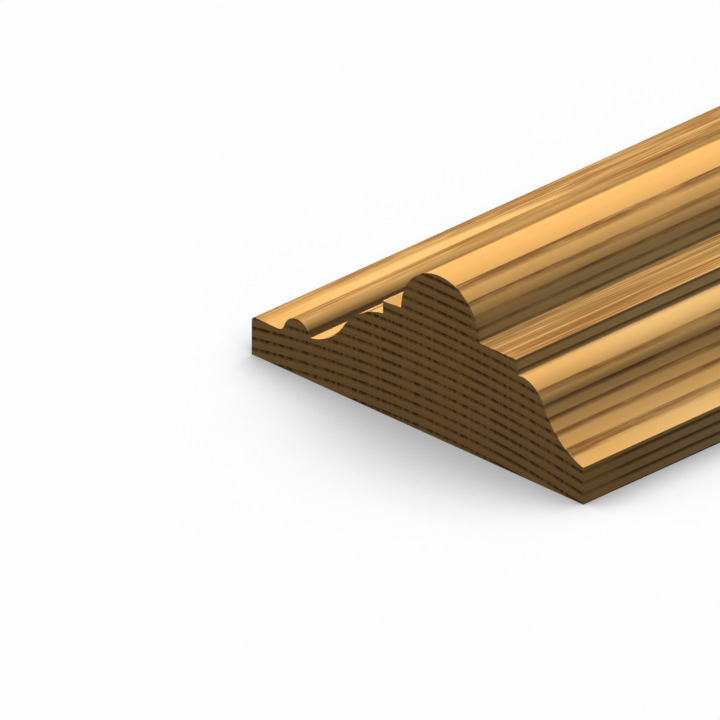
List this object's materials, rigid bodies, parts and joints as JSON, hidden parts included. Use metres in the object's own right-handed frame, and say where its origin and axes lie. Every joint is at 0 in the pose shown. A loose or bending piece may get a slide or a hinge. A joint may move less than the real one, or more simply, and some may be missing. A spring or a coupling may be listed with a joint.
{
  "type": "dado rail",
  "caption": "Straight timber wall moulding with a flat back and a moulded face of bead, hollow, half-round torus and ogee, fixed along a wall at chair-back height.",
  "frame": {"origin": "middle of the flat back: half-way along the rail and half-way across it", "axes": "+Y along the rail, +X across the face from the bead edge to the ogee edge, +Z out from the wall"},
  "size_m": [0.069, 2.4, 0.027],
  "materials": {
    "timber": "smooth planed, satin clear finish"
  },
  "bodies": {
    "root": {"dado_rail": "timber"}
  },
  "joints": []
}
